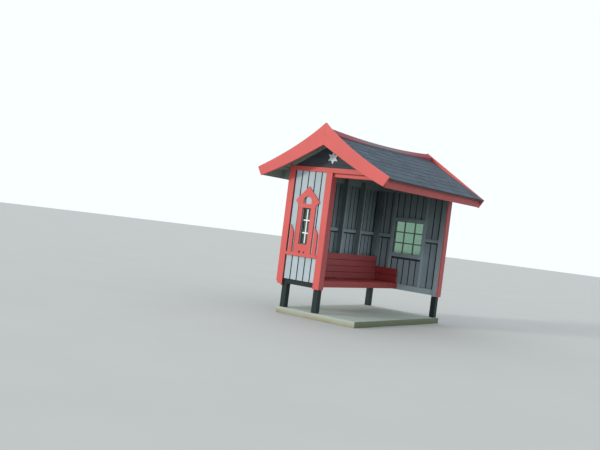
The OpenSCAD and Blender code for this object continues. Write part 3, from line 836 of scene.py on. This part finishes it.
def shingle_slope(name, node, side):
    """Lapped courses of tabs that fill the solid of one slope's shingles."""
    mesh = bmesh.new()
    eaves = slope_length_mm - SHEET_SHORT_MM
    outline = [on_slope(side, 0, 0), on_slope(side, eaves, 0), on_slope(side, eaves, SHEET_MM),
               on_slope(side, 0, SHEET_MM)]
    push_out(mesh, outline, "x", roof_low.x, roof_high.x)
    course = 0
    butt = slope_length_mm
    while butt > LAST_COURSE_MM:
        top = max(butt - COURSE_MM - LAP_MM, 4)
        shift = chance.uniform(-COURSE_SHIFT_MM, COURSE_SHIFT_MM)
        x = roof_low.x - TAB_MM * (0.5 if course % 2 else 1.0) + shift
        while x < roof_high.x:
            x0, x1 = max(x, roof_low.x), min(x + TAB_MM - SLOT_MM, roof_high.x)
            x += TAB_MM
            if x1 - x0 < LAST_TAB_MM:
                continue
            foot = min(butt + chance.uniform(-RAGGED_MM, 0), slope_length_mm)
            lift = chance.uniform(*TAB_LIFT_MM)
            under = SHEET_MM - TAB_SINK_MM
            tab = [on_slope(side, top, under), on_slope(side, foot, under),
                   on_slope(side, foot, lift), on_slope(side, top, SHEET_MM + TAB_TOP_MM)]
            push_out(mesh, tab, "x", x0, x1)
        butt -= COURSE_MM
        course += 1
    place_piece(name, mesh, [shingle], "shingles", [node], 0.0, grain_axis=LENGTHWISE,
                settle=settled)
    return course


print("courses:", shingle_slope("front_shingle_courses", "front_shingles", FRONT),
      shingle_slope("rear_shingle_courses", "rear_shingles", REAR))

# %% [markdown]
# ## Ridge boards
# Two red boards lie over the ridge, one on each slope, and meet in an open joint at the top.
# The solid is one angled piece, so it is replaced by the two boards.

# %% Ridge boards
ridge_low, ridge_high = box_mm("ridge_boards")
ridge_reach_mm = ridge_high.y / math.cos(PITCH)
RIDGE_ROUND_MM = 2.5
JOINT_MM = 0.8              # half of the open joint
JOINT_DROP_MM = 0.4
OFF_FELT_MM = 0.2
EDGE_BACK_MM = (5, 16)      # the lower edge leans back: at its foot and at its top
lift = FELT_MM + RIDGE_BOARD_MM
mesh = bmesh.new()
for side in (FRONT, REAR):
    top_joint = (side * JOINT_MM, ridge_base_mm + lift / math.cos(PITCH) - JOINT_DROP_MM)
    low_joint = (side * JOINT_MM, ridge_base_mm + FELT_MM / math.cos(PITCH) + OFF_FELT_MM)
    outline = [low_joint,
               on_slope(side, ridge_reach_mm - EDGE_BACK_MM[0], FELT_MM + OFF_FELT_MM),
               on_slope(side, ridge_reach_mm - EDGE_BACK_MM[1], lift), top_joint]
    push_out(mesh, outline, "x", ridge_low.x, ridge_high.x)
place_piece("ridge_boards_painted", mesh, [ridge_red_with_painted_sheen], "red_paint", ["ridge_boards"],
            RIDGE_ROUND_MM, settle=packed_up)

# %% [markdown]
# ## Gable boards
# Both gables are closed above the tie with dark boards that lie level, cut along the roof.
# The outline of the gable is sliced into level bands, and each band is one board.

# %% Gable boards
GABLE_BOARD_MM = 118
GABLE_GAP_MM = 5
BACKING_SINK_MM = (8, 6)    # how far the backing stays behind the outer and inner faces
BACKING_SHARE = 0.995
BACKING_DROP_MM = 3
LAST_BOARD_MM = 20          # a lower board than this isn't cut


def level_slice(outline, z0, z1):
    """The part of a convex outline between two heights."""
    for limit, keep_above in ((z0, True), (z1, False)):
        kept = []
        for i, here in enumerate(outline):
            before = outline[i - 1]
            here_in = (here[1] >= limit) == keep_above
            before_in = (before[1] >= limit) == keep_above
            if here_in != before_in:
                share = (limit - before[1]) / (here[1] - before[1])
                kept.append((before[0] + share * (here[0] - before[0]), limit))
            if here_in:
                kept.append(here)
        outline = kept
    return outline


gable_low, gable_high = box_mm("gable_boarding")
deck_under_mm = gable_high.z


def under_deck(y):
    """Height of the underside of the roof boards at a distance from the ridge line."""
    return deck_under_mm - abs(y) * math.tan(PITCH)


gable = [(gable_low.y, gable_low.z), (gable_high.y, gable_low.z),
         (gable_high.y, under_deck(gable_high.y)), (0, gable_high.z),
         (gable_low.y, under_deck(gable_low.y))]
mesh = bmesh.new()
bottom = gable_low.z
inner_mm = box_mm("half_wall")[1].x
while bottom < gable_high.z - LAST_BOARD_MM:
    band = level_slice(gable, bottom, min(bottom + GABLE_BOARD_MM - GABLE_GAP_MM,
                                          gable_high.z - 1))
    for x0, x1 in ((gable_low.x, inner_mm), (-inner_mm, gable_high.x)):
        push_out(mesh, band, "x", x0, x1)
    bottom += GABLE_BOARD_MM
backing = [(y * BACKING_SHARE, z + math.copysign(BACKING_DROP_MM, gable_low.z + 1 - z))
           for y, z in gable]
for x0, x1 in ((gable_low.x + BACKING_SINK_MM[0], inner_mm - BACKING_SINK_MM[1]),
               (-inner_mm + BACKING_SINK_MM[1], gable_high.x - BACKING_SINK_MM[0])):
    push_out(mesh, backing, "x", x0, x1)
place_piece("gable_boards", mesh, [dark_stain], "dark_stain", ["gable_boarding"],
            SAWN_ROUND_MM, grain_axis=(0, 1, 0), settle=settled)

# %% [markdown]
# Over the dark boards a rafter board follows the underside of the roof on each side. It has
# the paler stain of the eaves, which is painted light, so it shows as a paler band under the
# rear bargeboard.

# %% Rafter boards on the gables
RAFTER_DEPTH_MM = 140
RAFTER_BOARD_MM = 20
RAFTER_SHORT_MM = 2
tie_top_mm = box_mm("gable_ties")[1].z + 1
mesh = bmesh.new()
for edge_y, side in (
        (gable_high.y - RAFTER_SHORT_MM, 1), (-gable_low.y - RAFTER_SHORT_MM, -1)):
    foot_y = (deck_under_mm - RAFTER_DEPTH_MM - tie_top_mm) / math.tan(PITCH)
    outline = [(ROOF_JOINT_MM, deck_under_mm - 1),
               (ROOF_JOINT_MM, deck_under_mm - RAFTER_DEPTH_MM), (foot_y, tie_top_mm),
               (edge_y, tie_top_mm), (edge_y, under_deck(edge_y) - 1)]
    for face_x, out in ((gable_low.x, -1), (gable_high.x, 1)):
        push_out(mesh, [(side * y, z) for y, z in outline], "x", face_x,
                 face_x + out * RAFTER_BOARD_MM)
place_piece("gable_rafter_boards", mesh, [soffit_stain_painted_light], "dark_stain", (), SAWN_ROUND_MM,
            settle=settled)

# %% [markdown]
# ## Red trim
# Corner boards, ties, bargeboards, fascias and the carved trim of the narrow window are
# planed boards with a glossier red. Their outlines are right in the solids, so they are
# copied and rounded. The pediment's arch keeps its round edge. The faces that look out of
# the open front, away from the sun, are painted a deeper red as painted shade.

# %% Trim boards
TRIM_ROUND_MM = 2.0
BARGE_ROUND_MM = 3.0
# faces that look to the front take the crimson as painted shade
for node in ("gable_ties", "end_corner_boards", "side_corner_boards", "sill_rail",
             "window_pediment", "window_jambs", "window_apron", "window_brackets"):
    paint_solid(node, [coral_red, crimson_painted_shade], "red_paint", TRIM_ROUND_MM,
                choose=lambda face: int(face.normal.y < -0.9))
for node in ("near_front_bargeboard", "near_rear_bargeboard", "far_front_bargeboard",
             "far_rear_bargeboard"):
    paint_solid(node, [coral_red], "red_paint", BARGE_ROUND_MM)

# %% [markdown]
# The fascias under the roof's edges are a browner red as painted shade, since they face away
# from the light, and their inner faces have the paler stain of the eaves as painted light.

# %% Fascias
paint_solid("fascia_boards", [fascia_red_painted_shade, soffit_stain_painted_light], "red_paint", TRIM_ROUND_MM,
            "fascias_painted",
            choose=lambda face: int(face.normal.y * face.calc_center_median().y < -0.5))

# %% [markdown]
# ## Star
# The star was sawn from a board and painted off-white. It is a copy of its solid with
# softened edges, since a sawn star has no facets.

# %% Gable star
paint_solid("gable_star", [star_white], "star_paint", SAWN_ROUND_MM, "star_painted",
            grain_axis=UPRIGHT)

# %% [markdown]
# ## Windows
# Each opening is lined with four boards, butted at the corners. The narrow window's lining
# is pale on the faces that look to the front, as painted light, and has the dull sash colour
# on the others, as painted shade. A slim dull sash holds the glass, and glazing bars stand on
# it: white ones in the narrow window, grey-green ones in the square window. A ring cut in one
# piece would hide the joints, so every ring is four boards.

# %% Window helpers
LINING_MM = 20
LINING_ROUND_MM = 1.0
SILL_ROUND_MM = 3.0


def ring_of_boards(x0, x1, outer, inner):
    """Four boards round an opening: uprights between a top and a bottom board."""
    mesh = bmesh.new()
    oy0, oy1, oz0, oz1 = outer
    iy0, iy1, iz0, iz1 = inner
    for y0, y1, z0, z1 in ((oy0, oy1, oz0, iz0), (oy0, oy1, iz1, oz1),
                           (oy0, iy0, iz0, iz1), (iy1, oy1, iz0, iz1)):
        push_out(mesh, box_outline(y0, y1, z0, z1), "x", x0, x1)
    return mesh


def shrink(area, by):
    """The area less a border."""
    return area[0] + by, area[1] - by, area[2] + by, area[3] - by


# %% Linings, casing and sill
# the narrow lining: pale faces to the front as painted light, dull faces as painted shade
for node, shaded_paint, sunny_paint in (
        ("narrow_window_lining", sash_paint, wall_paint),
        ("wide_window_lining", framing_paint, framing_paint)):
    low, high = box_mm(node)
    mesh = ring_of_boards(low.x, high.x, hole_of(node), shrink(hole_of(node), LINING_MM))
    place_piece(node + "_boards", mesh, [shaded_paint, sunny_paint], "grey_paint", [node],
                LINING_ROUND_MM, choose=lambda face: int(face.normal.y < -0.5))

low, high = box_mm("wide_window_casing")
mesh = ring_of_boards(low.x, high.x, hole_of("wide_window_casing"),
                      shrink(hole_of("wide_window_lining"), LINING_MM))
place_piece("wide_window_casing_boards", mesh, [coral_red], "red_paint",
            ["wide_window_casing"])
paint_solid("wide_window_sill", [framing_paint], "grey_paint", SILL_ROUND_MM)

# %% Sashes and glazing bars
NARROW_SASH_MM = 18
WIDE_SASH_MM = 6
SASH_DEPTH_MM = 30
UPRIGHT_SET_MM = 4      # how far a bar stays behind the face of the sash
CROSS_SET_MM = 5


def sash(name, lining, glass_x, bars_y, bars_z, bar_mm, paint, frame_mm):
    """A slim frame and its bars, round the glass."""
    opening = shrink(hole_of(lining), LINING_MM)
    x0, x1 = glass_x - SASH_DEPTH_MM / 2, glass_x + SASH_DEPTH_MM / 2
    inside = shrink(opening, frame_mm)
    place_piece(name + "_frame", ring_of_boards(x0, x1, opening, inside), [sash_paint],
                "grey_paint", (), SAWN_ROUND_MM)
    mesh = bmesh.new()
    y0, y1, z0, z1 = inside
    for y in bars_y:
        push_out(mesh, box_outline(y - bar_mm / 2, y + bar_mm / 2, z0, z1), "x",
                 x0 + UPRIGHT_SET_MM, x1 - UPRIGHT_SET_MM)
    for z in bars_z:
        push_out(mesh, box_outline(y0, y1, z - bar_mm / 2, z + bar_mm / 2), "x",
                 x0 + CROSS_SET_MM, x1 - CROSS_SET_MM)
    place_piece(name + "_bars", mesh, [paint], "grey_paint", (), SAWN_ROUND_MM)


glass_low, glass_high = box_mm("window_glass")
GLASS_MM = 4
NARROW_BAR_MM = 20
NARROW_CROSS_BARS_Z_MM = [1377, 1588]
WIDE_BAR_MM = 22
WIDE_BARS_OFF_MM = {1: 26, 2: 10}       # how far the uprights stand from the thirds
narrow = shrink(hole_of("narrow_window_lining"), LINING_MM)
wide = shrink(hole_of("wide_window_lining"), LINING_MM)
sash("narrow_window_sash", "narrow_window_lining", glass_low.x + GLASS_MM / 2,
     [(narrow[0] + narrow[1]) / 2], NARROW_CROSS_BARS_Z_MM, NARROW_BAR_MM, bar_white,
     NARROW_SASH_MM)
sash("wide_window_sash", "wide_window_lining", glass_high.x - GLASS_MM / 2,
     [wide[0] + (wide[1] - wide[0]) * i / 3 - off for i, off in WIDE_BARS_OFF_MM.items()],
     [wide[2] + (wide[3] - wide[2]) * i / 3 for i in (1, 2)], WIDE_BAR_MM, bar_green,
     WIDE_SASH_MM)
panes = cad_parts["window_glass"]
panes.data.materials.clear()
panes.data.materials.append(glass)

# %% [markdown]
# ## Bench
# The bench is planed boards in a darker red. The edges under the knees and hands are rounded
# more than the wall boards, and wear through first. The front half of the seat is painted a
# lighter red as painted light from the open front. No daylight gets into the gaps, so they read
# as dark lines: their edges are painted dark brown and a thin dark strip stands in them, both
# as painted shade.

# %% Bench boards
BENCH_ROUND_MM = 4.0
SEAT_EDGE_MM = 230      # the width of the seat's two front boards
SLAT_ROUND_MM = 6.0
bench_tops = {node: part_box(node)[1].z for node in ("bench_backrest", "bench_side_boards")}
seat_edge_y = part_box("bench_seat")[0].y + SEAT_EDGE_MM * MM


def gap_coat(node):
    """Picks the edges inside the gaps, which take the painted shade."""
    return lambda face: int(abs(face.normal.z) > 0.3
                            and face.calc_center_median().z < bench_tops[node] - 10 * MM)


for node in ("bench_front_board", "bench_bearers"):
    paint_solid(node, [bench_red], "bench_paint", BENCH_ROUND_MM)
# the front of the seat takes the lighter red as painted light
paint_solid("bench_seat", [bench_red, seat_edge_painted_light], "bench_paint", BENCH_ROUND_MM,
            choose=lambda face: int(face.calc_center_median().y < seat_edge_y))
for node, paint in (("bench_backrest", backrest_red), ("bench_side_boards", bench_red)):
    paint_solid(node, [paint, gap_painted_shade], "bench_paint", SLAT_ROUND_MM, choose=gap_coat(node))

# %% Dark strips in the gaps of the bench
# Thin dark strips in the gaps stand as painted shade.
GAP_STRIP_MM = 3
STRIP_BORDER_MM = 8
back_low, back_high = box_mm("bench_backrest")
side_low, side_high = box_mm("bench_side_boards")
mesh = bmesh.new()
push_out(mesh, box_outline(back_low.x, back_high.x, back_low.z + STRIP_BORDER_MM,
                           back_high.z - STRIP_BORDER_MM), "y",
         back_high.y - 1 - GAP_STRIP_MM, back_high.y - 1)
for x0 in (side_high.x - 1 - GAP_STRIP_MM, side_low.x + 1):
    push_out(mesh, box_outline(side_low.y, side_high.y, side_low.z + STRIP_BORDER_MM,
                               side_high.z - STRIP_BORDER_MM), "x", x0, x0 + GAP_STRIP_MM)
place_piece("bench_gap_shadow_strips", mesh, [gap_painted_shade], "bench_paint", (), 0.0)

# %% [markdown]
# ## Slab
# The slab's arrises have crumbled and its top is slightly uneven. Its solid is a plain box,
# so a finer box is built with rounded edges, and the vertices near its faces are moved in by
# up to five millimetres at random, and never outwards.

# %% Concrete slab
SLAB_CELL_MM = 60
CRUMBLE_MM = 5
ARRIS_MM = 9
EDGE_ZONE_MM = 12       # vertices this near to a face are moved
DOWN_SHARE = 0.6
slab_low, slab_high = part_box("floor_slab")
mesh = bmesh.new()
push_out(mesh, box_outline(slab_low.x / MM, slab_high.x / MM, slab_low.y / MM,
                           slab_high.y / MM), "z", slab_low.z / MM, slab_high.z / MM)
bmesh.ops.recalc_face_normals(mesh, faces=mesh.faces)
bmesh.ops.bevel(mesh, geom=mesh.edges[:], offset=ARRIS_MM * MM, segments=2,
                profile=ROUND_PROFILE, affect="EDGES")
for axis in (0, 1):
    span = slab_high[axis] - slab_low[axis]
    cuts = int(span / (SLAB_CELL_MM * MM))
    for i in range(1, cuts):
        place, normal = Vector((0, 0, 0)), Vector((0, 0, 0))
        place[axis] = slab_low[axis] + span * i / cuts
        normal[axis] = 1
        cut_across(mesh, place, normal)
centre = (slab_low + slab_high) / 2
for vert in mesh.verts:
    inward = Vector((0, 0, 0))
    for axis in (0, 1):
        reach = (slab_high - slab_low)[axis] / 2 - EDGE_ZONE_MM * MM
        if abs(vert.co[axis] - centre[axis]) > reach:
            inward[axis] = -math.copysign(1, vert.co[axis] - centre[axis])
    if vert.co.z > slab_high.z - EDGE_ZONE_MM * MM and inward.length:
        inward.z = -DOWN_SHARE
    vert.co += inward * chance.uniform(0, CRUMBLE_MM) * MM
place_piece("slab_cast", mesh, [concrete], "concrete", ["floor_slab"], 0.0,
            grain_axis=LENGTHWISE)

# %% [markdown]
# ## Nails
# Galvanised nail heads sit in pairs where each board crosses a rail. They are 7 mm across,
# small in the picture, but they are what holds the walls when seen from near. Each is a low
# dome of three rings.

# %% Nail heads
NAIL_RINGS_MM = ((3.5, 0.0), (3.5, 0.6), (2.1, 1.2))    # radius and height of each ring
NAIL_SIDES = 8
NAIL_IN_MM = 22         # from the edge of a board
NARROWEST_NAILED_MM = 60
NAIL_ROWS_MM = (600, 1497, 2330)
WINDOW_BORDER_MM = 8


def nail(mesh, place, out):
    """A low domed head at a place in millimetres, looking out along a direction."""
    side = out.orthogonal().normalized()
    other = out.cross(side)
    rings = []
    for radius, height in NAIL_RINGS_MM:
        ring = []
        for i in range(NAIL_SIDES):
            turn = math.tau * i / NAIL_SIDES
            spoke = side * math.cos(turn) + other * math.sin(turn)
            ring.append(mesh.verts.new((place + spoke * radius + out * height) * MM))
        rings.append(ring)
    for low_ring, high_ring in zip(rings, rings[1:]):
        for i in range(NAIL_SIDES):
            j = (i + 1) % NAIL_SIDES
            mesh.faces.new((low_ring[i], low_ring[j], high_ring[j], high_ring[i]))
    mesh.faces.new(rings[-1])
    mesh.faces.new(rings[0][::-1])


mesh = bmesh.new()
for node, axis, hole, looks_in in WALLS:
    low, high = box_mm(node)
    across, along = (0, 1) if axis == "x" else (1, 0)
    face = (low if looks_in[across] > 0 else high)[across]
    edges = board_edges[node]
    for a0, a1 in zip(edges[0::2], edges[1::2]):
        if a1 - a0 < NARROWEST_NAILED_MM:
            continue
        for a in (a0 + NAIL_IN_MM, a1 - NAIL_IN_MM):
            beside = not hole or not hole[0] - WINDOW_BORDER_MM < a < hole[1] + WINDOW_BORDER_MM
            for z in NAIL_ROWS_MM:
                if beside or not hole[2] < z < hole[3]:
                    place = Vector((0, 0, z))
                    place[across], place[along] = face, a
                    nail(mesh, place, -looks_in)
place_piece("wall_nails", mesh, [nail_steel], "grey_paint", (), 0.0, grain_axis=UPRIGHT)

# %% [markdown]
# ## Floor and light
# The picture is set up as in a studio: a plain pale floor that fades into a pale
# surrounding, one broad soft key light low on the left, off the near gable and a little to
# the rear, where the sun stood, and the surrounding as fill. The near gable and the
# bargeboards are in the light, and the open front is in the shade.

# %% Studio
FLOOR_M = 60
FLOOR_SIDES = 96
KEY_ANGLE = math.radians(9)
KEY_STRENGTH = 1.45
SKY_STRENGTH = 1.12
KEY_FROM = Vector((-0.8, 0.38, 0.3)).normalized()

floor_paint, tree, place = new_material("pale_studio_floor")
roller = add_node(tree, "TexNoise", {"Scale": 0.7, "Detail": 2.0}, {"Vector": place})
colour = add_node(tree, "Mix", {"data_type": "RGBA", 6: linear("#b2b5b4"),
                                7: linear("#b8bbba")}, {0: roller})
surface = add_node(tree, "BsdfPrincipled", {"Roughness": 0.9}, {"Base Color": colour})
close_material(tree, surface)

mesh = bmesh.new()
bmesh.ops.create_circle(mesh, cap_ends=True, segments=FLOOR_SIDES, radius=FLOOR_M)
data = bpy.data.meshes.new("studio_floor")
mesh.to_mesh(data)
mesh.free()
data.materials.append(floor_paint)
floor = bpy.data.objects.new("studio_floor", data)
scene.collection.objects.link(floor)

world = bpy.data.worlds.new("pale_surrounding")
world.use_nodes = True
world.node_tree.nodes.clear()
sky = add_node(world.node_tree, "Background",
               {"Color": linear("#eef3f6"), "Strength": SKY_STRENGTH})
add_node(world.node_tree, "OutputWorld", links={"Surface": sky})
scene.world = world

key_data = bpy.data.lights.new("soft_key", "SUN")
key_data.energy = KEY_STRENGTH
key_data.angle = KEY_ANGLE
key_data.color = linear("#fff6ea")[:3]
key = bpy.data.objects.new("soft_key", key_data)
key.rotation_mode = "QUATERNION"
key.rotation_quaternion = KEY_FROM.to_track_quat("Z", "Y")
scene.collection.objects.link(key)
scene.view_settings.view_transform = "Standard"
print("key from", KEY_FROM, "strength", KEY_STRENGTH, "sky", SKY_STRENGTH)
